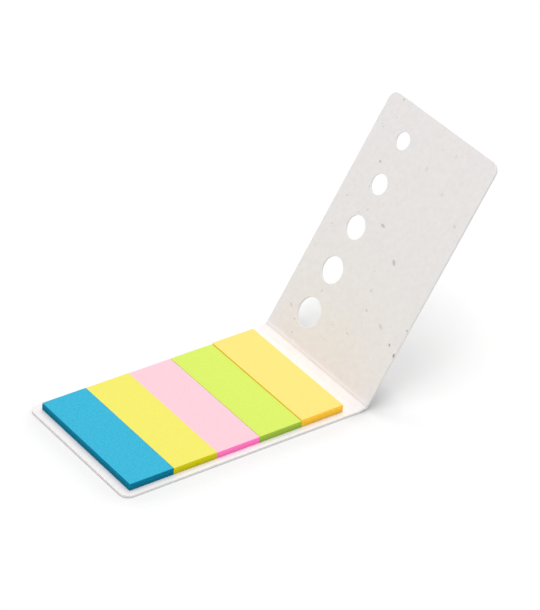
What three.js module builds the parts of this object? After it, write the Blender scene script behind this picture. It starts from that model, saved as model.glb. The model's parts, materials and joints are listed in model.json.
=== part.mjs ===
// A pocket notepad: a folded card cover that holds five small pads of sticky page markers.
// Units are millimetres, +Z is up. The origin is the middle of the back panel's underside.
// +X runs from the back panel's free edge towards the folds, and +Y along the length of each pad.

import * as THREE from 'three';

// The card
const cardThickness = 0.7;
const coverWidth = 50;
const coverLength = 81.2;
const cornerRadius = 3;
const foldClearance = 0.1;

// The pads, in order from the back panel's free edge to the folds
const padWidth = 15;
const padLength = 45;
const padClearance = 0.06;
const glueLayer = 0.03;
const pads = [
  { name: 'blue_pad', height: 2.3, colour: '#4bbce0' },
  { name: 'yellow_pad', height: 2.2, colour: '#f8f073' },
  { name: 'pink_pad', height: 2.08, colour: '#fdd5de' },
  { name: 'green_pad', height: 2.15, colour: '#def66c' },
  { name: 'orange_pad', height: 2.55, colour: '#ffec82' },
];

// The bare card that shows round the pads
const freeEdgeMargin = 3;
const frontMargin = 2.2;
const foldMargin = 4.35;

// The spine strip is as wide as the tallest pad is high, with room to close over it
const closingClearance = 0.15;
const tallestPad = Math.max(...pads.map((pad) => pad.height));
const spineWidth = tallestPad + glueLayer + closingClearance;

// How far each fold stands open at rest, measured from lying flat
const spineFoldAngle = THREE.MathUtils.degToRad(11.7);
const coverFoldAngle = THREE.MathUtils.degToRad(48.5);

// The row of round holes in the front cover, from the one nearest the fold outwards
const holeDiameters = [9.5, 8.5, 7.5, 6.5, 5.5];
const firstHoleFromFold = 11.2;
const holePitch = 14.75;
const holesFromBackEdge = 13;

// How finely round shapes are cut
const segmentsPerCorner = 8;
const segmentsPerHole = 48;

const panelLength = freeEdgeMargin + pads.length * padWidth + foldMargin;
const freeEdgeX = -panelLength / 2;
const foldX = panelLength / 2;

function material(name, colour, roughness) {
  return new THREE.MeshStandardMaterial({ name, color: colour, roughness, metalness: 0 });
}

// A flat panel that starts square at x = 0 and ends at x = length with two rounded corners.
function panelShape(length, width, radius) {
  const halfWidth = width / 2;
  const shape = new THREE.Shape();
  shape.moveTo(0, -halfWidth);
  shape.lineTo(length - radius, -halfWidth);
  shape.absarc(length - radius, -halfWidth + radius, radius, -Math.PI / 2, 0, false);
  shape.lineTo(length, halfWidth - radius);
  shape.absarc(length - radius, halfWidth - radius, radius, 0, Math.PI / 2, false);
  shape.lineTo(0, halfWidth);
  shape.closePath();
  return shape;
}

function roundHole(centreX, centreY, diameter) {
  const hole = new THREE.Path();
  hole.absarc(centreX, centreY, diameter / 2, 0, 2 * Math.PI, true);
  return hole;
}

// The card's inner face lies at z = 0 of the extruded sheet, and its outer face below it.
function cardSheet(shape, curveSegments) {
  const settings = { depth: cardThickness, bevelEnabled: false, curveSegments };
  const sheet = new THREE.ExtrudeGeometry(shape, settings);
  return sheet.translate(0, 0, -cardThickness);
}

// The back panel runs from the first fold towards -X, so its rounded end is turned round.
function makeBackPanel() {
  const shape = panelShape(panelLength, coverWidth, cornerRadius);
  const sheet = cardSheet(shape, segmentsPerCorner).rotateZ(Math.PI);
  const panel = new THREE.Mesh(sheet, material('card', '#f4f2ec', 0.9));
  panel.name = 'back_panel';
  panel.position.set(foldX, 0, cardThickness);
  return panel;
}

function makeSpineStrip() {
  const stripLength = spineWidth - 2 * foldClearance;
  const strip = cardSheet(panelShape(stripLength, coverWidth, 0), 1).translate(foldClearance, 0, 0);
  const spine = new THREE.Mesh(strip, material('card_spine', '#f6f3ec', 0.9));
  spine.name = 'spine_strip';
  return spine;
}

function makeFrontCover() {
  const shape = panelShape(coverLength, coverWidth, cornerRadius);
  const holeY = coverWidth / 2 - holesFromBackEdge;
  holeDiameters.forEach((diameter, index) => {
    const holeX = firstHoleFromFold + index * holePitch;
    shape.holes.push(roundHole(holeX, holeY, diameter));
  });
  const cover = new THREE.Mesh(cardSheet(shape, segmentsPerHole), material('card_cover', '#ebe4dc', 0.9));
  cover.name = 'front_cover';
  return cover;
}

// Each pad is one glued block of paper, stuck down on the back panel.
function makePad(pad, index) {
  const block = new THREE.BoxGeometry(padWidth - padClearance, padLength, pad.height);
  const mesh = new THREE.Mesh(block, material(pad.name + '_paper', pad.colour, 0.85));
  const frontEdge = -coverWidth / 2 + frontMargin;
  mesh.name = pad.name;
  mesh.position.set(
    freeEdgeX + freeEdgeMargin + (index + 0.5) * padWidth,
    frontEdge + padLength / 2,
    cardThickness + glueLayer + pad.height / 2,
  );
  return mesh;
}

// The spine strip turns up about the first fold, and the front cover about the second.
// Both folds lie in the card's inner face, so the outer faces part as the card closes.
function makeFoldedCover() {
  const spineFold = new THREE.Group();
  spineFold.position.set(foldX, 0, cardThickness);
  spineFold.rotation.y = -spineFoldAngle;
  spineFold.add(makeSpineStrip());

  const coverFold = new THREE.Group();
  coverFold.position.set(spineWidth, 0, 0);
  coverFold.rotation.y = -coverFoldAngle;
  coverFold.add(makeFrontCover());
  spineFold.add(coverFold);
  return spineFold;
}

function makeNotepad() {
  const notepad = new THREE.Group();
  notepad.add(makeBackPanel());
  pads.forEach((pad, index) => notepad.add(makePad(pad, index)));
  notepad.add(makeFoldedCover());
  return notepad;
}

export default makeNotepad();
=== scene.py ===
import json
import math

import bmesh
import bpy
from mathutils import Matrix, Quaternion, Vector


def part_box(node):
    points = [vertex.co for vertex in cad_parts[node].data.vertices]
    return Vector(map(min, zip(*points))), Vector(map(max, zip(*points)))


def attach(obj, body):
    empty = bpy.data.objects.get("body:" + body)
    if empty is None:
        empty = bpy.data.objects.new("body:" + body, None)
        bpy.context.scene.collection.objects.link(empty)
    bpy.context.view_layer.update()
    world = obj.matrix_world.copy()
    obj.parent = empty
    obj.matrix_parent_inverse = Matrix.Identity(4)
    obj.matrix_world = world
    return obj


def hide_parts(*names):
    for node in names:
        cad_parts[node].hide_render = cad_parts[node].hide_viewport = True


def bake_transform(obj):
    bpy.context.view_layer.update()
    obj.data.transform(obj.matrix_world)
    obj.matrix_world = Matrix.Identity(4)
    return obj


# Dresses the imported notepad: a folded card cover, five pads of sticky page markers and a pale stage.
# Everything is in metres in the part's own frame, with the origin under the middle of the back panel.

bl_info = {
    "name": "Page Marker Notepad",
    "version": (1, 0, 0),
    "blender": (4, 5, 0),
    "location": "View3D > Sidebar > Notepad",
    "description": "Makes a card booklet of sticky page markers and the stage it is shown on",
    "category": "Object",
}

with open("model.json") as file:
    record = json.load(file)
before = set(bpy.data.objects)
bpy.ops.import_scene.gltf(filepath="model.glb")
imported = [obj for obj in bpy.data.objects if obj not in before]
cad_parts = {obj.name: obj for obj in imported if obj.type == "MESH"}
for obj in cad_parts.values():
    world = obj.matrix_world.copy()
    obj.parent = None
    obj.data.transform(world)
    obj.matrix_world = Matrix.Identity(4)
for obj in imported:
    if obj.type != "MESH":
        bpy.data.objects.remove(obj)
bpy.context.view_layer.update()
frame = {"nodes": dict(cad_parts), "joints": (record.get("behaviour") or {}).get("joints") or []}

MM = 0.001
PAD_NODES = ("blue_pad", "yellow_pad", "pink_pad", "green_pad", "orange_pad")
WHITE = (1, 1, 1, 1)
BLACK = (0, 0, 0, 1)

# How finely the card is cut: along each fold's band, round each corner and round each hole
BAND_REACH = 1.7 * MM
BAND_STEPS = 60
CORNER_STEPS = 12
HOLE_SIDES = 72


# What the frame says of the card

def joint_named(name):
    """The frame's joint of that name."""
    return next(joint for joint in frame["joints"] if joint["name"] == name)


def rest_angle(joint):
    """How far a fold stands open at rest: its range starts where the card lies flat."""
    return math.radians(-joint["range_deg"][0])


SPINE_JOINT = joint_named("spine_fold")
COVER_JOINT = joint_named("cover_fold")
SPINE_FOLD = Vector(SPINE_JOINT["pos_m"])
COVER_FOLD = Vector(COVER_JOINT["pos_m"])
SPINE_ANGLE = rest_angle(SPINE_JOINT)
COVER_ANGLE = rest_angle(COVER_JOINT)
CARD_THICKNESS = SPINE_FOLD.z
SPINE_WIDTH = (COVER_FOLD - SPINE_FOLD).length
CARD_LOW, CARD_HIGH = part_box("back_panel")
CARD_HALF_WIDTH = CARD_HIGH.y
FREE_EDGE_X = CARD_LOW.x
SPINE_FOLD_X = SPINE_FOLD.x
COVER_FOLD_X = SPINE_FOLD_X + SPINE_WIDTH
SEAM_X = SPINE_FOLD_X + SPINE_WIDTH / 2


def direction_at(angle):
    """The way along the card where it stands at that angle from flat."""
    return Vector((math.cos(angle), 0, math.sin(angle)))


def cover_reach():
    """How far the front cover runs from its fold."""
    along = direction_at(SPINE_ANGLE + COVER_ANGLE)
    mesh = frame["nodes"]["front_cover"].data
    return max((vertex.co - COVER_FOLD).dot(along) for vertex in mesh.vertices)


COVER_END_X = COVER_FOLD_X + cover_reach()


# Sizes and colours that a user would change

def length(name, description, millimetres):
    """A length that is given here in millimetres."""
    return bpy.props.FloatProperty(
        name=name, description=description, default=millimetres * MM, unit="LENGTH", precision=5
    )


def colour(name, description, red, green, blue):
    """A plain linear colour."""
    return bpy.props.FloatVectorProperty(
        name=name, description=description, default=(red, green, blue), subtype="COLOR", min=0, max=1
    )


class NotepadCard(bpy.types.PropertyGroup):
    """The folded card and the holes in its cover."""

    corner_radius: length("Corner radius", "Rounding of the card's four free corners", 3)
    edge_rounding: length("Edge rounding", "How far the cut edges are softened", 0.06)
    fold_half_width: length("Fold half width", "Half the width of card that bends at a fold", 0.5)
    groove_depth: length("Groove depth", "Depth of the scored line inside the cover's fold", 0.035)
    groove_width: length("Groove width", "Half width of the scored line", 0.12)
    bead_height: length("Bead height", "Height of the pulp that is pushed up inside the cover's fold", 0.25)
    bead_start: length("Bead start", "How far before the fold the bead begins", 0.6)
    bead_crest: length("Bead crest", "From the fold to the bead's crest", 0.15)
    bead_end: length("Bead end", "From the fold to where the bead has died away", 1.3)
    largest_hole: length("Largest hole", "Diameter of the hole next to the fold", 9.5)
    hole_step: length("Hole step", "How much smaller each next hole is", 1)
    first_hole: length("First hole", "From the fold to the first hole's middle", 11.2)
    hole_pitch: length("Hole pitch", "From one hole's middle to the next", 14.75)
    hole_inset: length("Hole inset", "From the cover's back edge to the row of holes", 13)
    hole_count: bpy.props.IntProperty(name="Holes", description="Number of holes", default=5, min=1)
    fleck_density: bpy.props.FloatProperty(
        name="Fleck density", description="Small plant flecks to each square metre", default=3000
    )
    light_tone: colour("Light tone", "The card's lighter pulp", 0.97, 0.942, 0.938)
    dark_tone: colour("Dark tone", "The card's darker pulp", 0.902, 0.87, 0.864)
    fleck_tone: colour("Fleck tone", "The darkest flecks", 0.13, 0.07, 0.045)


class NotepadPads(bpy.types.PropertyGroup):
    """The pads of markers."""

    sheet_pitch: length("Sheet pitch", "From one sheet to the next in a pad", 0.1)
    sheet_fill: bpy.props.FloatProperty(
        name="Sheet fill", description="Share of the pitch that is paper", default=0.9, min=0.1, max=1
    )
    sheet_slip: length("Sheet slip", "How far sheets lie out of line sideways", 0.006)
    block_slip: length("Block slip", "How far blocks of sheets stand out at a pad's free side", 0.11)
    block_sheets: bpy.props.IntProperty(
        name="Sheets in a block", description="How many sheets slip together", default=6, min=1
    )
    sheet_turn: bpy.props.FloatProperty(
        name="Sheet turn", description="How far sheets are turned",
        default=math.radians(0.05), subtype="ANGLE",
    )
    blue_face: colour("Blue face", "Top of the blue pad", 0.049, 0.48, 0.7)
    blue_edge: colour("Blue edge", "Cut edges of the blue pad", 0, 0.25, 0.41)
    yellow_face: colour("Yellow face", "Top of the yellow pad", 0.905, 0.838, 0.158)
    yellow_edge: colour("Yellow edge", "Cut edges of the yellow pad", 0.9, 0.82, 0)
    pink_face: colour("Pink face", "Top of the pink pad", 0.975, 0.63, 0.707)
    pink_edge: colour("Pink edge", "Cut edges of the pink pad", 1, 0.165, 0.512)
    green_face: colour("Green face", "Top of the green pad", 0.7, 0.873, 0.146)
    green_edge: colour("Green edge", "Cut edges of the green pad", 0.5, 0.75, 0.085)
    orange_face: colour("Orange face", "Top of the orange pad", 0.96, 0.79, 0.224)
    orange_edge: colour("Orange edge", "Cut edges of the orange pad", 1, 0.565, 0.041)


class NotepadStage(bpy.types.PropertyGroup):
    """The camera, the lamps and the floor."""

    camera_place: bpy.props.FloatVectorProperty(
        name="Camera place", description="Where the camera stands",
        default=(-0.50115, -0.65233, 0.59172), subtype="TRANSLATION",
    )
    camera_aim: bpy.props.FloatVectorProperty(
        name="Camera aim", description="The point in the middle of the picture",
        default=(0.02461, 0, 0.02908), subtype="TRANSLATION",
    )
    camera_roll: bpy.props.FloatProperty(
        name="Camera roll", description="Turn about the line of sight",
        default=math.radians(5.108), subtype="ANGLE",
    )
    lens: bpy.props.FloatProperty(name="Lens", description="Focal length in millimetres", default=232.4)
    top_power: bpy.props.FloatProperty(
        name="Top power", description="Power of the lamp overhead", default=4.6, unit="POWER"
    )
    back_power: bpy.props.FloatProperty(
        name="Back power", description="Power of the lamp behind, on the right", default=4.5, unit="POWER"
    )
    left_power: bpy.props.FloatProperty(
        name="Left power", description="Power of the lamp in front, on the left", default=1.8, unit="POWER"
    )
    sky_strength: bpy.props.FloatProperty(
        name="Sky strength", description="Light from all round", default=0.5
    )
    floor_tone: bpy.props.FloatProperty(
        name="Floor tone", description="How white the floor is for the camera", default=0.85, min=0, max=1
    )
    floor_glow: bpy.props.FloatProperty(
        name="Floor glow", description="What the camera adds to the floor's own brightness", default=0.16
    )


# Node helpers

def add_node(tree, kind, values=(), **settings):
    """A new node with its settings made and its named input values set."""
    node = tree.nodes.new(kind)
    for setting, value in settings.items():
        setattr(node, setting, value)
    for socket, value in dict(values).items():
        node.inputs[socket].default_value = value
    return node


def math_node(tree, operation, first, second=0):
    """A Math node. Each input is a number or another node's output. Some operations need only one."""
    node = tree.nodes.new("ShaderNodeMath")
    node.operation = operation
    for socket, value in zip(node.inputs, (first, second)):
        if isinstance(value, (int, float)):
            socket.default_value = value
        else:
            tree.links.new(value, socket)
    return node.outputs[0]


def blend_colours(tree, factor, first, second, blend_type="MIX"):
    """A colour Mix node. Each input is a colour or another node's output.

    The node has like-named sockets for each type of data, so the colours' sockets go by number.
    """
    node = tree.nodes.new("ShaderNodeMix")
    node.data_type = "RGBA"
    node.blend_type = blend_type
    sockets = (node.inputs["Factor"], node.inputs[6], node.inputs[7])
    for socket, value in zip(sockets, (factor, first, second)):
        if isinstance(value, bpy.types.NodeSocket):
            tree.links.new(value, socket)
        else:
            socket.default_value = value
    return node.outputs[2]


def remap(tree, value, low, high, new_low=0, new_high=1, **settings):
    """A Map Range node, which takes low to new_low and high to new_high and holds those ends."""
    limits = {"From Min": low, "From Max": high, "To Min": new_low, "To Max": new_high}
    node = add_node(tree, "ShaderNodeMapRange", limits, **settings)
    tree.links.new(value, node.inputs["Value"])
    return node.outputs["Result"]


def split_vector(tree, vector):
    """A vector's X, Y and Z, as outputs by name."""
    node = tree.nodes.new("ShaderNodeSeparateXYZ")
    tree.links.new(vector, node.inputs["Vector"])
    return node.outputs


def object_place(tree):
    """Each point's place in the object's own coordinates."""
    return tree.nodes.new("ShaderNodeTexCoord").outputs["Object"]


def add_sockets(tree, inputs, outputs):
    """Gives a node group its named inputs and outputs, each a (name, socket type) pair."""
    for name, socket_type in inputs:
        tree.interface.new_socket(name, in_out="INPUT", socket_type="NodeSocket" + socket_type)
    for name, socket_type in outputs:
        tree.interface.new_socket(name, in_out="OUTPUT", socket_type="NodeSocket" + socket_type)


def opaque(rgb):
    """A colour with full alpha."""
    return (*rgb, 1)


# Shader groups that the materials share

def pulp_group():
    """Cloudy paper pulp: a slow tone and a fine height that both change over the surface."""
    tree = bpy.data.node_groups.new("paper_pulp", "ShaderNodeTree")
    scales = [("Cloud Scale", "Float"), ("Grain Scale", "Float")]
    add_sockets(tree, scales, [("Tone", "Float"), ("Height", "Float")])
    entry = tree.nodes.new("NodeGroupInput")
    result = tree.nodes.new("NodeGroupOutput")
    place = object_place(tree)
    cloud = add_node(tree, "ShaderNodeTexNoise", {"Detail": 4, "Roughness": 0.6})
    grain = add_node(tree, "ShaderNodeTexNoise", {"Detail": 5, "Roughness": 0.7})
    fibre = add_node(tree, "ShaderNodeTexNoise", {"Detail": 2, "Roughness": 0.5, "Distortion": 2.5})
    for noise in (cloud, grain, fibre):
        tree.links.new(place, noise.inputs["Vector"])
    tree.links.new(entry.outputs["Cloud Scale"], cloud.inputs["Scale"])
    tree.links.new(entry.outputs["Grain Scale"], grain.inputs["Scale"])
    fibre_scale = math_node(tree, "MULTIPLY", entry.outputs["Grain Scale"], 0.3)
    tree.links.new(fibre_scale, fibre.inputs["Scale"])
    cloud_share = math_node(tree, "MULTIPLY", cloud.outputs["Fac"], 0.45)
    grain_share = math_node(tree, "MULTIPLY", grain.outputs["Fac"], 0.3)
    fibre_share = math_node(tree, "MULTIPLY", fibre.outputs["Fac"], 0.25)
    coarse = math_node(tree, "ADD", cloud_share, fibre_share)
    total = math_node(tree, "ADD", coarse, grain_share)
    tree.links.new(total, result.inputs["Tone"])
    height = math_node(tree, "ADD", grain_share, fibre_share)
    tree.links.new(height, result.inputs["Height"])
    return tree


def shared_pulp():
    """The one pulp group, made the first time that it is asked for."""
    return bpy.data.node_groups.get("paper_pulp") or pulp_group()


def speck_group():
    """Tiny specks scattered in the pulp: a mask that is 1 in a speck and 0 between them."""
    tree = bpy.data.node_groups.new("pulp_specks", "ShaderNodeTree")
    add_sockets(tree, [("Scale", "Float"), ("Share", "Float"), ("Size", "Float")], [("Mask", "Float")])
    entry = tree.nodes.new("NodeGroupInput")
    result = tree.nodes.new("NodeGroupOutput")
    cells = add_node(tree, "ShaderNodeTexVoronoi", {"Randomness": 1})
    tree.links.new(object_place(tree), cells.inputs["Vector"])
    tree.links.new(entry.outputs["Scale"], cells.inputs["Scale"])
    parts = tree.nodes.new("ShaderNodeSeparateColor")
    tree.links.new(cells.outputs["Color"], parts.inputs["Color"])
    chosen = math_node(tree, "LESS_THAN", parts.outputs["Red"], entry.outputs["Share"])
    own_size = math_node(tree, "MULTIPLY", parts.outputs["Green"], entry.outputs["Size"])
    inside = math_node(tree, "LESS_THAN", cells.outputs["Distance"], own_size)
    mask = math_node(tree, "MULTIPLY", chosen, inside)
    tree.links.new(mask, result.inputs["Mask"])
    return tree


def place_group(tree, group, values):
    """Places a shader group in a material and sets its inputs."""
    node = tree.nodes.new("ShaderNodeGroup")
    node.node_tree = group
    for socket, value in values.items():
        node.inputs[socket].default_value = value
    return node


def new_material(name, roughness, shine):
    """A matt material with one Principled shader. Returns it with its tree and its shader."""
    material = bpy.data.materials.new(name)
    material.use_nodes = True
    tree = material.node_tree
    shader = tree.nodes["Principled BSDF"]
    shader.inputs["Roughness"].default_value = roughness
    shader.inputs["Specular IOR Level"].default_value = shine
    return material, tree, shader


def bump_from(tree, shader, height, distance, strength):
    """Feeds a height to the shader's normal."""
    bump = add_node(tree, "ShaderNodeBump", {"Strength": strength, "Distance": distance})
    tree.links.new(height, bump.inputs["Height"])
    tree.links.new(bump.outputs["Normal"], shader.inputs["Normal"])


def card_material(card, pulp, specks):
    """Uncoated card with cloudy pulp and specks."""
    material, tree, shader = new_material("flecked_card", 0.92, 0.25)
    base = place_group(tree, pulp, {"Cloud Scale": 600, "Grain Scale": 2600})
    lightness = remap(tree, base.outputs["Tone"], 0.36, 0.64)
    body = blend_colours(tree, lightness, opaque(card.dark_tone), opaque(card.light_tone))
    tiny = place_group(tree, specks, {"Scale": 420, "Share": 0.16, "Size": 0.11})
    tiny_share = math_node(tree, "MULTIPLY", tiny.outputs["Mask"], 0.3)
    spotted = blend_colours(tree, tiny_share, body, opaque(card.fleck_tone))
    tree.links.new(spotted, shader.inputs["Base Color"])
    bump_from(tree, shader, base.outputs["Height"], 0.12 * MM, 0.5)
    return material


def fleck_material(card, pulp):
    """Bits of plant pressed into the card, from dark seeds to faint straw."""
    material, tree, shader = new_material("plant_flecks", 0.8, 0.25)
    shade = add_node(tree, "ShaderNodeAttribute", attribute_name="fleck_shade")
    grain = place_group(tree, pulp, {"Cloud Scale": 1500, "Grain Scale": 9000})
    straw = (0.26, 0.17, 0.12, 1)
    deepest = 0.62
    plant = blend_colours(tree, grain.outputs["Tone"], opaque(card.fleck_tone), straw)
    darkness = math_node(tree, "MULTIPLY", shade.outputs["Fac"], deepest)
    faded = blend_colours(tree, darkness, opaque(card.dark_tone), plant)
    tree.links.new(faded, shader.inputs["Base Color"])
    bump_from(tree, shader, grain.outputs["Height"], 0.04 * MM, 0.6)
    return material


def paper_material(name, face, edge, glow, grain, pulp):
    """Coloured paper, deeper in colour on the cut edges of the stack, whose cut edges also get a painted
    glow of the given strength.
    """
    material, tree, shader = new_material(name, 0.86, 0.08)
    base = place_group(tree, pulp, {"Cloud Scale": 2000, "Grain Scale": 5200})
    mottle = remap(tree, base.outputs["Tone"], 0.3, 0.7, 1 - grain, 1 + grain)
    face_colour = blend_colours(tree, 1.0, opaque(face), mottle, "MULTIPLY")
    edge_colour = cut_edge_colour(tree, edge)
    is_edge = cut_edge_mask(tree)
    both = blend_colours(tree, is_edge, face_colour, edge_colour)
    tree.links.new(both, shader.inputs["Base Color"])
    # Painted light: the cut edges glow by the given strength, so they look brighter than the lamps make
    # them.
    painted_edge_light = blend_colours(tree, is_edge, BLACK, edge_colour)
    tree.links.new(painted_edge_light, shader.inputs["Emission Color"])
    shader.inputs["Emission Strength"].default_value = glow
    bump_from(tree, shader, base.outputs["Height"], 0.05 * MM, 0.4)
    return material


def cut_edge_mask(tree):
    """1 on the stack's upright sides, and 0 on its level faces."""
    normal = tree.nodes.new("ShaderNodeNewGeometry").outputs["Normal"]
    upward = math_node(tree, "ABSOLUTE", split_vector(tree, normal)["Z"])
    return math_node(tree, "LESS_THAN", upward, 0.5)


def cut_edge_colour(tree, edge):
    """The edge's colour, a little darker on some sheets, and with painted shade that darkens it towards the
    card below.
    """
    sheet = add_node(tree, "ShaderNodeAttribute", attribute_name="sheet_tone")
    stripe = remap(tree, sheet.outputs["Fac"], 0, 1, 0.9, 1.0)
    striped = blend_colours(tree, 1.0, opaque(edge), stripe, "MULTIPLY")
    height = split_vector(tree, object_place(tree))["Z"]
    # Painted shade: the edge darkens towards the card, where the pad stands on it.
    painted_shade_below = remap(tree, height, CARD_THICKNESS, CARD_THICKNESS + 2 * MM, 0.7, 1.04)
    return blend_colours(tree, 1.0, striped, painted_shade_below, "MULTIPLY")


# Geometry Nodes trees

def new_tree(name, inputs):
    """A geometry tree with its inputs. Returns it with its entry node and its result node."""
    tree = bpy.data.node_groups.new(name, "GeometryNodeTree")
    add_sockets(tree, [("Geometry", "Geometry")] + inputs, [("Geometry", "Geometry")])
    return tree, tree.nodes.new("NodeGroupInput"), tree.nodes.new("NodeGroupOutput")


def end_tree(tree, geometry, entry, result):
    """Ends a tree: instances are made real and get the material."""
    realize = tree.nodes.new("GeometryNodeRealizeInstances")
    paint = tree.nodes.new("GeometryNodeSetMaterial")
    tree.links.new(geometry, realize.inputs["Geometry"])
    tree.links.new(realize.outputs["Geometry"], paint.inputs["Geometry"])
    tree.links.new(entry.outputs["Material"], paint.inputs["Material"])
    tree.links.new(paint.outputs["Geometry"], result.inputs["Geometry"])


def hole_tree():
    """Punches a straight row of round holes whose size falls by one step each time."""
    tree, entry, result = new_tree("punched_holes", [
        ("Count", "Int"), ("First Hole", "Vector"), ("Pitch", "Vector"),
        ("Largest Diameter", "Float"), ("Diameter Step", "Float"), ("Material", "Material"),
    ])
    row = add_node(tree, "GeometryNodeMeshLine", mode="OFFSET")
    tree.links.new(entry.outputs["Count"], row.inputs["Count"])
    tree.links.new(entry.outputs["First Hole"], row.inputs["Start Location"])
    tree.links.new(entry.outputs["Pitch"], row.inputs["Offset"])
    punch = add_node(tree, "GeometryNodeMeshCylinder", {
        "Vertices": HOLE_SIDES, "Radius": 1, "Depth": 10 * MM,
    })
    index = tree.nodes.new("GeometryNodeInputIndex").outputs["Index"]
    smaller = math_node(tree, "MULTIPLY", index, entry.outputs["Diameter Step"])
    diameter = math_node(tree, "SUBTRACT", entry.outputs["Largest Diameter"], smaller)
    radius = math_node(tree, "MULTIPLY", diameter, 0.5)
    scale = add_node(tree, "ShaderNodeCombineXYZ", {"Z": 1})
    tree.links.new(radius, scale.inputs["X"])
    tree.links.new(radius, scale.inputs["Y"])
    punches = tree.nodes.new("GeometryNodeInstanceOnPoints")
    tree.links.new(row.outputs["Mesh"], punches.inputs["Points"])
    tree.links.new(punch.outputs["Mesh"], punches.inputs["Instance"])
    tree.links.new(scale.outputs["Vector"], punches.inputs["Scale"])
    real = tree.nodes.new("GeometryNodeRealizeInstances")
    tree.links.new(punches.outputs["Instances"], real.inputs["Geometry"])
    cut = add_node(tree, "GeometryNodeMeshBoolean", operation="DIFFERENCE", solver="EXACT")
    tree.links.new(entry.outputs["Geometry"], cut.inputs["Mesh 1"])
    tree.links.new(real.outputs["Geometry"], cut.inputs["Mesh 2"])
    end_tree(tree, cut.outputs["Mesh"], entry, result)
    return tree


def add_fold(tree, geometry, pivot, angle, half_width):
    """Turns what lies past a fold up about it, smoothly over the width that bends."""
    position = tree.nodes.new("GeometryNodeInputPosition").outputs["Position"]
    fold_x = split_vector(tree, pivot)["X"]
    ramp = add_node(tree, "ShaderNodeMapRange", interpolation_type="SMOOTHSTEP")
    tree.links.new(split_vector(tree, position)["X"], ramp.inputs["Value"])
    tree.links.new(math_node(tree, "SUBTRACT", fold_x, half_width), ramp.inputs["From Min"])
    tree.links.new(math_node(tree, "ADD", fold_x, half_width), ramp.inputs["From Max"])
    tree.links.new(angle, ramp.inputs["To Max"])
    turn = add_node(tree, "ShaderNodeVectorRotate", {"Axis": (0, -1, 0)}, rotation_type="AXIS_ANGLE")
    tree.links.new(position, turn.inputs["Vector"])
    tree.links.new(pivot, turn.inputs["Center"])
    tree.links.new(ramp.outputs["Result"], turn.inputs["Angle"])
    move = tree.nodes.new("GeometryNodeSetPosition")
    tree.links.new(geometry, move.inputs["Geometry"])
    tree.links.new(turn.outputs["Vector"], move.inputs["Position"])
    return move.outputs["Geometry"]


def fold_tree():
    """Folds flat card at the cover's fold and then at the spine's fold."""
    tree, entry, result = new_tree("folded_card", [
        ("Cover Fold", "Vector"), ("Cover Angle", "Float"), ("Spine Fold", "Vector"),
        ("Spine Angle", "Float"), ("Half Width", "Float"), ("Material", "Material"),
    ])
    card = entry.outputs["Geometry"]
    half_width = entry.outputs["Half Width"]
    for fold in ("Cover", "Spine"):
        pivot = entry.outputs[fold + " Fold"]
        card = add_fold(tree, card, pivot, entry.outputs[fold + " Angle"], half_width)
    end_tree(tree, card, entry, result)
    return tree


def stack_tree():
    """Stacks thin sheets, each a little out of line and with a tone of its own."""
    tree, entry, result = new_tree("sheet_stack", [
        ("Count", "Int"), ("Lowest Sheet", "Vector"), ("Pitch", "Vector"), ("Sheet Size", "Vector"),
        ("Slip", "Vector"), ("Block Slip", "Vector"), ("Sheets In A Block", "Int"), ("Turn", "Vector"),
        ("Seed", "Int"), ("Material", "Material"),
    ])
    row = add_node(tree, "GeometryNodeMeshLine", mode="OFFSET")
    tree.links.new(entry.outputs["Count"], row.inputs["Count"])
    tree.links.new(entry.outputs["Lowest Sheet"], row.inputs["Start Location"])
    tree.links.new(entry.outputs["Pitch"], row.inputs["Offset"])
    slip = random_vector(tree, entry.outputs["Slip"], entry.outputs["Seed"])
    both = add_node(tree, "ShaderNodeVectorMath", operation="ADD")
    tree.links.new(slip, both.inputs[0])
    tree.links.new(block_slip(tree, entry), both.inputs[1])
    shift = tree.nodes.new("GeometryNodeSetPosition")
    tree.links.new(row.outputs["Mesh"], shift.inputs["Geometry"])
    tree.links.new(both.outputs["Vector"], shift.inputs["Offset"])
    turn = random_vector(tree, entry.outputs["Turn"], entry.outputs["Seed"])
    sheet = tree.nodes.new("GeometryNodeMeshCube")
    tree.links.new(entry.outputs["Sheet Size"], sheet.inputs["Size"])
    sheets = tree.nodes.new("GeometryNodeInstanceOnPoints")
    tree.links.new(shift.outputs["Geometry"], sheets.inputs["Points"])
    tree.links.new(sheet.outputs["Mesh"], sheets.inputs["Instance"])
    tree.links.new(turn, sheets.inputs["Rotation"])
    toned = store_random(tree, sheets.outputs["Instances"], "sheet_tone", entry.outputs["Seed"])
    end_tree(tree, toned, entry, result)
    return tree


def block_slip(tree, entry):
    """A slip that the sheets of one block share, from none up to the whole of it."""
    index = tree.nodes.new("GeometryNodeInputIndex").outputs["Index"]
    block = math_node(tree, "DIVIDE", index, entry.outputs["Sheets In A Block"])
    whole = math_node(tree, "FLOOR", block)
    random = add_node(tree, "FunctionNodeRandomValue", data_type="FLOAT_VECTOR")
    tree.links.new(entry.outputs["Block Slip"], random.inputs[1])
    random.inputs[0].default_value = (0, 0, 0)
    tree.links.new(whole, random.inputs["ID"])
    tree.links.new(entry.outputs["Seed"], random.inputs["Seed"])
    return random.outputs[0]


def random_vector(tree, reach, seed):
    """A random vector between minus reach and plus reach."""
    flip = add_node(tree, "ShaderNodeVectorMath", operation="SCALE")
    flip.inputs["Scale"].default_value = -1
    tree.links.new(reach, flip.inputs[0])
    random = add_node(tree, "FunctionNodeRandomValue", data_type="FLOAT_VECTOR")
    tree.links.new(flip.outputs["Vector"], random.inputs[0])
    tree.links.new(reach, random.inputs[1])
    tree.links.new(seed, random.inputs["Seed"])
    return random.outputs[0]


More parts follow.
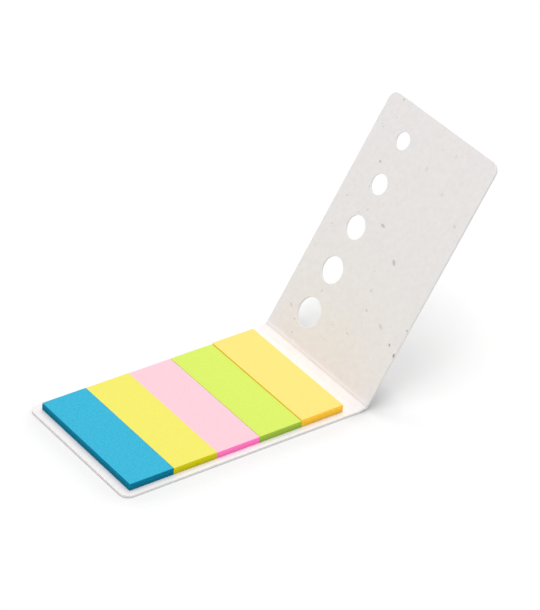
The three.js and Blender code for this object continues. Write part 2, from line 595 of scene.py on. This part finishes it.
def store_random(tree, instances, name, seed):
    """Gives each instance a random number from 0 to 1 under that attribute name."""
    random = add_node(tree, "FunctionNodeRandomValue", data_type="FLOAT")
    tree.links.new(seed, random.inputs["Seed"])
    store = add_node(
        tree, "GeometryNodeStoreNamedAttribute", {"Name": name}, data_type="FLOAT", domain="INSTANCE"
    )
    tree.links.new(instances, store.inputs["Geometry"])
    tree.links.new(random.outputs[1], store.inputs["Value"])
    return store.outputs["Geometry"]


def fleck_tree():
    """Scatters small flakes over the card's faces, clear of the folds."""
    tree, entry, result = new_tree("scattered_flecks", [
        ("Density", "Float"), ("Smallest", "Vector"), ("Largest", "Vector"), ("Fold Line", "Float"),
        ("Clear Of Fold", "Float"), ("Seed", "Int"), ("Material", "Material"),
    ])
    position = tree.nodes.new("GeometryNodeInputPosition").outputs["Position"]
    off_fold = math_node(tree, "SUBTRACT", split_vector(tree, position)["X"], entry.outputs["Fold Line"])
    distance = math_node(tree, "ABSOLUTE", off_fold)
    clear = math_node(tree, "GREATER_THAN", distance, entry.outputs["Clear Of Fold"])
    scatter = add_node(tree, "GeometryNodeDistributePointsOnFaces", distribute_method="RANDOM")
    tree.links.new(entry.outputs["Geometry"], scatter.inputs["Mesh"])
    tree.links.new(entry.outputs["Density"], scatter.inputs["Density"])
    tree.links.new(entry.outputs["Seed"], scatter.inputs["Seed"])
    keep = add_node(tree, "GeometryNodeSeparateGeometry", domain="POINT")
    tree.links.new(scatter.outputs["Points"], keep.inputs["Geometry"])
    tree.links.new(clear, keep.inputs["Selection"])
    flake = add_node(tree, "GeometryNodeMeshIcoSphere", {"Radius": 1, "Subdivisions": 2})
    size = add_node(tree, "FunctionNodeRandomValue", data_type="FLOAT_VECTOR")
    tree.links.new(entry.outputs["Smallest"], size.inputs[0])
    tree.links.new(entry.outputs["Largest"], size.inputs[1])
    tree.links.new(entry.outputs["Seed"], size.inputs["Seed"])
    spin = random_vector(tree, half_turn(tree), entry.outputs["Seed"])
    aim = add_node(tree, "FunctionNodeRotateRotation", rotation_space="LOCAL")
    tree.links.new(scatter.outputs["Rotation"], aim.inputs["Rotation"])
    spun = tree.nodes.new("FunctionNodeEulerToRotation")
    tree.links.new(spin, spun.inputs["Euler"])
    tree.links.new(spun.outputs["Rotation"], aim.inputs["Rotate By"])
    flakes = tree.nodes.new("GeometryNodeInstanceOnPoints")
    tree.links.new(keep.outputs["Selection"], flakes.inputs["Points"])
    tree.links.new(flake.outputs["Mesh"], flakes.inputs["Instance"])
    tree.links.new(aim.outputs["Rotation"], flakes.inputs["Rotation"])
    tree.links.new(size.outputs[0], flakes.inputs["Scale"])
    toned = store_random(tree, flakes.outputs["Instances"], "fleck_shade", entry.outputs["Seed"])
    end_tree(tree, toned, entry, result)
    return tree


def half_turn(tree):
    """A half turn about Z, which is the reach of a random spin either way."""
    turn = add_node(tree, "ShaderNodeCombineXYZ", {"Z": math.pi})
    return turn.outputs["Vector"]


def run_tree(obj, tree, values):
    """Puts a geometry tree on an object, sets its inputs and turns the result into a plain mesh."""
    modifier = obj.modifiers.new(tree.name, "NODES")
    modifier.node_group = tree
    for item in tree.interface.items_tree:
        if item.item_type == "SOCKET" and item.in_out == "INPUT" and item.name in values:
            modifier[item.identifier] = values[item.name]
    bpy.context.view_layer.update()
    evaluated = obj.evaluated_get(bpy.context.evaluated_depsgraph_get())
    mesh = bpy.data.meshes.new_from_object(evaluated)
    obj.modifiers.remove(modifier)
    mesh.name = obj.name
    obj.data = mesh
    return obj


# Mesh helpers

def link_mesh(name, bm):
    """A linked object from a bmesh, which is then freed."""
    mesh = bpy.data.meshes.new(name)
    bm.to_mesh(mesh)
    bm.free()
    obj = bpy.data.objects.new(name, mesh)
    bpy.context.scene.collection.objects.link(obj)
    return obj


def shade_by_angle(obj, degrees):
    """Smooth shading that stays crisp where faces meet at more than that angle."""
    for polygon in obj.data.polygons:
        polygon.use_smooth = True
    obj.data.set_sharp_from_angle(angle=math.radians(degrees))


def shade_card(obj, fold_x):
    """Keeps the flat of the card flat-shaded, and its bends, rims and hole walls smooth."""
    obj.data.set_sharp_from_angle(angle=math.radians(40))
    for polygon in obj.data.polygons:
        beyond_band = abs(polygon.center.x - fold_x) > BAND_REACH
        level = abs(polygon.normal.z) > 0.999
        polygon.use_smooth = not (beyond_band and level)


def crease_relief(card, x):
    """Height that the scored line and its bead add to the card's inner face."""
    past = x - COVER_FOLD_X
    groove = math.exp(-((past / card.groove_width) ** 2))
    rise = smooth_step((past + card.bead_start) / (card.bead_start + card.bead_crest))
    fall = smooth_step((past - card.bead_crest) / (card.bead_end - card.bead_crest))
    return card.bead_height * rise * (1 - fall) - card.groove_depth * groove


def smooth_step(share):
    """Runs from 0 to 1 with level ends."""
    share = min(max(share, 0), 1)
    return share * share * (3 - 2 * share)


def stations_round(fold_x, seam_x, reach, steps):
    """Places along the card, evenly spaced from the seam to reach past the fold."""
    far = fold_x + math.copysign(reach, fold_x - seam_x)
    return [seam_x + (far - seam_x) * step / steps for step in range(steps + 1)]


def panel_outline(start_x, end_x, radius, steps):
    """Points round a panel from its front edge at start_x, round its free end, to its back edge."""
    toward_end = math.copysign(1, end_x - start_x)
    centre_x = end_x - toward_end * radius
    centre_y = CARD_HALF_WIDTH - radius
    front = []
    for step in range(steps + 1):
        angle = math.pi / 2 * step / steps
        x = centre_x + toward_end * radius * math.sin(angle)
        front.append((x, -centre_y - radius * math.cos(angle)))
    back = [(x, -y) for x, y in reversed(front)]
    return [(start_x, -CARD_HALF_WIDTH)] + front + back + [(start_x, CARD_HALF_WIDTH)]


def flat_card(name, card, fold_x, end_x):
    """A flat piece of card from the seam in the spine, past one fold, to its rounded free end."""
    stations = stations_round(fold_x, SEAM_X, BAND_REACH, BAND_STEPS)
    outline = panel_outline(stations[-1], end_x, card.corner_radius, CORNER_STEPS)
    bm = bmesh.new()
    inner_rows = []
    outer_rows = []
    for x in stations:
        inner = CARD_THICKNESS + crease_relief(card, x)
        inner_rows.append([bm.verts.new((x, side * CARD_HALF_WIDTH, inner)) for side in (-1, 1)])
        outer_rows.append([bm.verts.new((x, side * CARD_HALF_WIDTH, 0)) for side in (-1, 1)])
    add_strip(bm, inner_rows, outer_rows)
    add_panel(bm, outline, inner_rows[-1], outer_rows[-1])
    bmesh.ops.recalc_face_normals(bm, faces=bm.faces)
    return link_mesh(name, bm)


def add_strip(bm, inner_rows, outer_rows):
    """The band of card that holds the fold, with its end at the seam."""
    rows = list(zip(inner_rows, outer_rows))
    for (inner, outer), (next_inner, next_outer) in zip(rows, rows[1:]):
        bm.faces.new(inner + next_inner[::-1])
        bm.faces.new(outer + next_outer[::-1])
        for side in (0, 1):
            bm.faces.new((inner[side], next_inner[side], next_outer[side], outer[side]))
    bm.faces.new(inner_rows[0] + outer_rows[0][::-1])


def add_panel(bm, outline, inner_ends, outer_ends):
    """The flat panel beyond the fold, which shares the band's last corners."""
    inner = [bm.verts.new((x, y, CARD_THICKNESS)) for x, y in outline[1:-1]]
    outer = [bm.verts.new((x, y, 0)) for x, y in outline[1:-1]]
    inner = [inner_ends[0]] + inner + [inner_ends[1]]
    outer = [outer_ends[0]] + outer + [outer_ends[1]]
    bm.faces.new(inner)
    bm.faces.new(outer)
    for place in range(len(inner) - 1):
        bm.faces.new((inner[place], inner[place + 1], outer[place + 1], outer[place]))


def soften_rim(obj, width):
    """Rounds the cut edges of the card, but not the seam in the spine."""
    bm = bmesh.new()
    bm.from_mesh(obj.data)
    rim = []
    for edge in bm.edges:
        at_seam = all(abs(vertex.co.x - SEAM_X) < 1e-6 for vertex in edge.verts)
        if len(edge.link_faces) == 2 and not at_seam and edge.calc_face_angle() > math.radians(60):
            rim.append(edge)
    bmesh.ops.bevel(bm, geom=rim, offset=width, segments=2, profile=0.5, affect="EDGES", clamp_overlap=True)
    bm.to_mesh(obj.data)
    bm.free()


def fold_values(card, material):
    """The fold tree's inputs, all from the frame's joints."""
    return {
        "Cover Fold": (COVER_FOLD_X, 0, CARD_THICKNESS),
        "Cover Angle": COVER_ANGLE,
        "Spine Fold": SPINE_FOLD,
        "Spine Angle": SPINE_ANGLE,
        "Half Width": card.fold_half_width,
        "Material": material,
    }


# The pieces

class NOTEPAD_OT_make_card(bpy.types.Operator):
    """Makes the folded card cover with its row of holes"""

    bl_idname = "notepad.make_card"
    bl_label = "Make the card cover"

    def execute(self, context):
        card = context.scene.notepad_card
        pulp = shared_pulp()
        material = card_material(card, pulp, speck_group())
        folding = fold_tree()

        back = flat_card("card_back", card, SPINE_FOLD_X, FREE_EDGE_X)
        front = flat_card("card_front", card, COVER_FOLD_X, COVER_END_X)
        hole_x = COVER_FOLD_X + card.first_hole
        hole_y = CARD_HALF_WIDTH - card.hole_inset
        run_tree(front, hole_tree(), {
            "Count": card.hole_count,
            "First Hole": (hole_x, hole_y, CARD_THICKNESS / 2),
            "Pitch": (card.hole_pitch, 0, 0),
            "Largest Diameter": card.largest_hole,
            "Diameter Step": card.hole_step,
            "Material": material,
        })
        for piece, fold_x in ((back, SPINE_FOLD_X), (front, COVER_FOLD_X)):
            soften_rim(piece, card.edge_rounding)
            shade_card(piece, fold_x)
        scatter_flecks(card, pulp, back, front, folding)
        for piece in (back, front):
            run_tree(piece, folding, fold_values(card, material))

        self.ride_on_bodies(card, back, front)
        return {"FINISHED"}

    def ride_on_bodies(self, card, back, front):
        """Bakes each half's place into its mesh and hides the frame's card parts."""
        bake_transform(back)
        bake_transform(front)
        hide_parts("back_panel", "spine_strip")
        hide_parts("front_cover")


# Half sizes of the scattered flecks, and half the height of those that stand out
SMALLEST_FLECK = (0.08 * MM, 0.05 * MM, 0.006 * MM)
LARGEST_FLECK = (0.32 * MM, 0.16 * MM, 0.012 * MM)
FLECK_HALF_HEIGHT = 0.015 * MM

# Flecks that stand out on the inside of the cover, in millimetres and degrees:
# from the fold, from the front edge, length, width, turn and darkness
COVER_FLECKS = (
    (9.6, 44.7, 1.3, 0.8, 60, 0.29),
    (46.2, 27.9, 1.9, 0.9, 80, 0.52),
    (39.4, 17.3, 2.0, 1.1, 50, 0.5),
    (22.9, 17.7, 1.0, 0.8, 20, 0.28),
    (28.5, 19.8, 1.2, 1.1, 0, 0.18),
    (21.7, 10.0, 1.9, 1.2, 70, 0.22),
    (19.1, 3.7, 0.9, 0.7, 30, 0.85),
    (13.7, 19.9, 1.3, 0.6, 80, 0.22),
    (61.2, 40.9, 1.0, 0.8, 70, 0.5),
    (67.8, 23.6, 1.7, 1.3, 0, 0.1),
    (76.0, 16.0, 1.1, 0.9, 10, 0.12),
    (64.4, 13.8, 1.4, 1.1, 30, 0.1),
    (59.1, 3.9, 1.4, 1.0, 60, 0.16),
    (46.9, 46.0, 1.3, 0.5, 110, 0.19),
    (47.2, 36.1, 0.9, 0.4, 150, 0.4),
    (58.0, 30.4, 2.2, 0.3, 45, 0.08),
    (28.8, 47.5, 1.0, 0.5, 20, 0.14),
    (18.9, 36.6, 1.0, 0.7, 0, 0.23),
    (17.4, 0.4, 1.3, 0.8, 15, 1.0),
    (25.8, 0.5, 0.8, 0.6, 40, 0.6),
    (80.5, 44.3, 1.0, 0.7, 60, 0.35),
)


def add_fleck(bm, layer, centre, size, turn, shade):
    """One flat oval flake that lies half sunk in the card's inner face."""
    flake = bmesh.ops.create_icosphere(bm, subdivisions=2, radius=1)["verts"]
    shape = Matrix.Translation(centre) @ Matrix.Rotation(turn, 4, "Z") @ Matrix.Diagonal((*size, 1))
    bmesh.ops.transform(bm, matrix=shape, verts=flake)
    for vertex in flake:
        vertex[layer] = shade


def noted_flecks(name):
    """The flecks that stand out, laid out on the flat cover."""
    bm = bmesh.new()
    layer = bm.verts.layers.float.new("fleck_shade")
    for along, across, long_side, short_side, turn, shade in COVER_FLECKS:
        centre = (COVER_FOLD_X + along * MM, across * MM - CARD_HALF_WIDTH, CARD_THICKNESS)
        size = (long_side * MM / 2, short_side * MM / 2, FLECK_HALF_HEIGHT)
        add_fleck(bm, layer, centre, size, math.radians(turn), shade)
    return link_mesh(name, bm)


def scatter_flecks(card, pulp, back, front, folding):
    """Flecks for each panel, scattered on the flat card and then folded with it."""
    material = fleck_material(card, pulp)
    scattering = fleck_tree()
    places = ((back, "back", SPINE_FOLD_X, 11), (front, "cover", COVER_FOLD_X, 23))
    for piece, body, fold_x, seed in places:
        flecks = bpy.data.objects.new(body + "_flecks", piece.data.copy())
        bpy.context.scene.collection.objects.link(flecks)
        run_tree(flecks, scattering, {
            "Density": card.fleck_density,
            "Smallest": SMALLEST_FLECK,
            "Largest": LARGEST_FLECK,
            "Fold Line": fold_x,
            "Clear Of Fold": 2 * MM,
            "Seed": seed,
            "Material": material,
        })
        finish_flecks(card, flecks, folding, material, body)
    noted = noted_flecks("noted_flecks")
    finish_flecks(card, noted, folding, material, "cover")


def finish_flecks(card, flecks, folding, material, body):
    """Folds flecks with the card and fixes them to its body."""
    run_tree(flecks, folding, fold_values(card, material))
    shade_by_angle(flecks, 60)
    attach(flecks, body)


class NOTEPAD_OT_make_pads(bpy.types.Operator):
    """Makes the five pads, each a stack of thin sheets"""

    bl_idname = "notepad.make_pads"
    bl_label = "Make the pads"

    # The cut edges of the two bright papers get a painted glow, light that stands in for the extra
    # brightness of fluorescent paper;
    # the blue paper is the coarsest, and the sheets of the two outer pads stand out at their free sides.
    painted_edge_glow = {"pink_pad": 0.45, "orange_pad": 0.32}
    grain = {"blue_pad": 0.32}
    usual_grain = 0.06
    block_way = {"blue_pad": -1, "orange_pad": 1}

    def execute(self, context):
        pads = context.scene.notepad_pads
        pulp = shared_pulp()
        stacking = stack_tree()
        for seed, node in enumerate(PAD_NODES):
            paper = node.replace("_pad", "")
            face = getattr(pads, paper + "_face")
            edge = getattr(pads, paper + "_edge")
            glow = self.painted_edge_glow.get(node, 0)
            grain = self.grain.get(node, self.usual_grain)
            material = paper_material(paper + "_paper", face, edge, glow, grain, pulp)
            stack = self.make_stack(pads, node, stacking, seed, material)
            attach(stack, "back")
            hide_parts(node)
        return {"FINISHED"}

    def make_stack(self, pads, node, stacking, seed, material):
        """One pad, stacked in the room that its solid takes in the frame."""
        low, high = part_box(node)
        size = high - low
        count = round(size.z / pads.sheet_pitch)
        pitch = size.z / count
        stack = link_mesh(node.replace("_pad", "_sheets"), bmesh.new())
        return run_tree(stack, stacking, {
            "Count": count,
            "Lowest Sheet": ((low.x + high.x) / 2, (low.y + high.y) / 2, low.z + pitch / 2),
            "Pitch": (0, 0, pitch),
            "Sheet Size": (size.x - 2 * pads.sheet_slip, size.y, pitch * pads.sheet_fill),
            "Slip": (pads.sheet_slip, 4 * pads.sheet_slip, 0),
            "Block Slip": (self.block_way.get(node, 0) * pads.block_slip, pads.sheet_slip, 0),
            "Sheets In A Block": pads.block_sheets,
            "Turn": (0, 0, pads.sheet_turn),
            "Seed": seed,
            "Material": material,
        })


# The stage

class NOTEPAD_OT_make_stage(bpy.types.Operator):
    """Makes the floor, the light and the camera"""

    bl_idname = "notepad.make_stage"
    bl_label = "Make the stage"

    lamp_side = 0.6
    lamp_height = 1.2
    floor_reach = 3
    floor_drop = 0.02 * MM
    floor_bounce = (0.86, 0.86, 0.86, 1)

    # The floor fades to white between these distances from the origin
    fade_start = 0.15
    fade_end = 0.35

    # How far the painted shade on the floor reaches from the object, and how far the hidden light that it
    # stands for leans to the back
    shade_reach = 12 * MM
    shade_lean = {"X": 0.4, "Y": 0.4, "Z": 1}
    shade_blend = 0.1

    def execute(self, context):
        stage = context.scene.notepad_stage
        self.make_floor(stage)
        self.make_sky(stage)
        self.make_lamp("top", stage.top_power, 0, 0)
        self.make_lamp("back", stage.back_power, 0.6, 0.6)
        self.make_lamp("left", stage.left_power, -0.6, -0.4)
        self.make_camera(stage)
        context.scene.view_settings.view_transform = "Standard"
        return {"FINISHED"}

    def make_floor(self, stage):
        """A wide white floor that shows the object's shadow, with painted shade added close round it."""
        bm = bmesh.new()
        bmesh.ops.create_grid(bm, x_segments=1, y_segments=1, size=self.floor_reach)
        bmesh.ops.translate(bm, verts=bm.verts, vec=(0, 0, -self.floor_drop))
        floor = link_mesh("floor", bm)
        floor.data.materials.append(self.floor_material(stage))

    def floor_material(self, stage):
        """White. The camera sees a little extra brightness, painted shade close round the object, and plain
        white well away from it.
        """
        material = bpy.data.materials.new("white_floor")
        material.use_nodes = True
        tree = material.node_tree
        tree.nodes.clear()
        seen = seen_directly(tree)
        matt = tree.nodes.new("ShaderNodeBsdfDiffuse")
        plain = opaque([stage.floor_tone] * 3)
        # Painted shade: the camera sees the floor darkened close round the object.
        shaded = blend_colours(tree, 1.0, plain, self.contact_shade(tree), "MULTIPLY")
        tone = blend_colours(tree, seen, self.floor_bounce, shaded)
        tree.links.new(tone, matt.inputs["Color"])
        glow = add_node(tree, "ShaderNodeEmission", {"Color": WHITE})
        tree.links.new(math_node(tree, "MULTIPLY", seen, stage.floor_glow), glow.inputs["Strength"])
        near = tree.nodes.new("ShaderNodeAddShader")
        tree.links.new(matt.outputs["BSDF"], near.inputs[0])
        tree.links.new(glow.outputs["Emission"], near.inputs[1])
        far = add_node(tree, "ShaderNodeEmission", {"Color": WHITE, "Strength": 1})
        fade = tree.nodes.new("ShaderNodeMixShader")
        tree.links.new(math_node(tree, "MULTIPLY", seen, self.far_share(tree)), fade.inputs["Fac"])
        tree.links.new(near.outputs["Shader"], fade.inputs[1])
        tree.links.new(far.outputs["Emission"], fade.inputs[2])
        result = tree.nodes.new("ShaderNodeOutputMaterial")
        tree.links.new(fade.outputs["Shader"], result.inputs["Surface"])
        return material

    def contact_shade(self, tree):
        """Painted shade for the floor close to the object: how much light from behind the object would
        reach it, up to 1.

        It falls to a level that is the same all round the card, and below it only where
        the floor and the card nearly touch.
        """
        lean = add_node(tree, "ShaderNodeCombineXYZ", self.shade_lean)
        toward_back = add_node(tree, "ShaderNodeVectorMath", operation="NORMALIZE")
        open_sky = add_node(tree, "ShaderNodeAmbientOcclusion", {"Distance": self.shade_reach}, samples=16)
        tree.links.new(lean.outputs["Vector"], toward_back.inputs[0])
        tree.links.new(toward_back.outputs["Vector"], open_sky.inputs["Normal"])
        around = add_node(tree, "ShaderNodeMath", {2: self.shade_blend}, operation="SMOOTH_MAX")
        tree.links.new(open_sky.outputs["AO"], around.inputs[0])
        tree.links.new(self.least_light(tree), around.inputs[1])
        touching = remap(tree, open_sky.outputs["AO"], 0.3, 0.62, 0.45, 1)
        return math_node(tree, "MULTIPLY", around.outputs[0], touching)

    def least_light(self, tree):
        """The level of the painted shade close to the card, which is lower where the cover leans over the
        floor.
        """
        along = split_vector(tree, object_place(tree))["X"]
        return remap(tree, along, SPINE_FOLD_X - 6 * MM, SPINE_FOLD_X + 4 * MM, 0.86, 0.6)

    def far_share(self, tree):
        """0 round the object and its shadow, and 1 far out on the floor."""
        distance = add_node(tree, "ShaderNodeVectorMath", operation="LENGTH")
        tree.links.new(object_place(tree), distance.inputs[0])
        away = distance.outputs["Value"]
        return remap(tree, away, self.fade_start, self.fade_end, interpolation_type="SMOOTHSTEP")

    def make_sky(self, stage):
        """Even light from all round, which the camera sees as white."""
        world = bpy.data.worlds.new("studio")
        bpy.context.scene.world = world
        world.use_nodes = True
        tree = world.node_tree
        tree.nodes.clear()
        light = add_node(tree, "ShaderNodeBackground", {"Color": WHITE, "Strength": stage.sky_strength})
        white = add_node(tree, "ShaderNodeBackground", {"Color": WHITE, "Strength": 1})
        choose = tree.nodes.new("ShaderNodeMixShader")
        tree.links.new(seen_directly(tree), choose.inputs["Fac"])
        tree.links.new(light.outputs["Background"], choose.inputs[1])
        tree.links.new(white.outputs["Background"], choose.inputs[2])
        result = tree.nodes.new("ShaderNodeOutputWorld")
        tree.links.new(choose.outputs["Shader"], result.inputs["Surface"])

    def make_lamp(self, name, power, x, y):
        """A large soft lamp that hangs above that spot and looks at the object."""
        lamp = bpy.data.lights.new(name, "AREA")
        lamp.shape = "SQUARE"
        lamp.size = self.lamp_side
        lamp.energy = power
        aim_object(name, lamp, Vector((x, y, self.lamp_height)), Vector((0, 0, 0)), 0)

    def make_camera(self, stage):
        """The camera at the photograph's angle."""
        camera = bpy.data.cameras.new("camera")
        camera.sensor_fit = "HORIZONTAL"
        camera.sensor_width = 36
        camera.lens = stage.lens
        place = Vector(stage.camera_place)
        aim = Vector(stage.camera_aim)
        bpy.context.scene.camera = aim_object("camera", camera, place, aim, stage.camera_roll)


def seen_directly(tree):
    """1 for rays from the camera, from mirrors and through glass, and 0 for the rest."""
    path = tree.nodes.new("ShaderNodeLightPath")
    mirror = math_node(tree, "MAXIMUM", path.outputs["Is Camera Ray"], path.outputs["Is Glossy Ray"])
    return math_node(tree, "MAXIMUM", mirror, path.outputs["Is Transmission Ray"])


def aim_object(name, data, place, aim, roll):
    """An object that stands at a place and looks at a point, turned by roll about its line of sight."""
    obj = bpy.data.objects.new(name, data)
    bpy.context.scene.collection.objects.link(obj)
    obj.rotation_mode = "QUATERNION"
    obj.rotation_quaternion = (aim - place).to_track_quat("-Z", "Y") @ Quaternion((0, 0, 1), roll)
    obj.location = place
    return obj


# The add-on

class NOTEPAD_PT_panel(bpy.types.Panel):
    """Lists the steps that make the notepad"""

    bl_idname = "NOTEPAD_PT_panel"
    bl_label = "Notepad"
    bl_space_type = "VIEW_3D"
    bl_region_type = "UI"
    bl_category = "Notepad"

    def draw(self, context):
        for operator in OPERATORS:
            self.layout.operator(operator.bl_idname)


OPERATORS = (NOTEPAD_OT_make_card, NOTEPAD_OT_make_pads, NOTEPAD_OT_make_stage)
SETTINGS = {"notepad_card": NotepadCard, "notepad_pads": NotepadPads, "notepad_stage": NotepadStage}


def register():
    for group in SETTINGS.values():
        bpy.utils.register_class(group)
    for name, group in SETTINGS.items():
        setattr(bpy.types.Scene, name, bpy.props.PointerProperty(type=group))
    for operator in OPERATORS:
        bpy.utils.register_class(operator)
    bpy.utils.register_class(NOTEPAD_PT_panel)


def unregister():
    bpy.utils.unregister_class(NOTEPAD_PT_panel)
    for operator in reversed(OPERATORS):
        bpy.utils.unregister_class(operator)
    for name in SETTINGS:
        delattr(bpy.types.Scene, name)
    for group in SETTINGS.values():
        bpy.utils.unregister_class(group)


def main():
    register()
    bpy.ops.notepad.make_card()
    bpy.ops.notepad.make_pads()
    bpy.ops.notepad.make_stage()


if __name__ == "__main__":
    main()
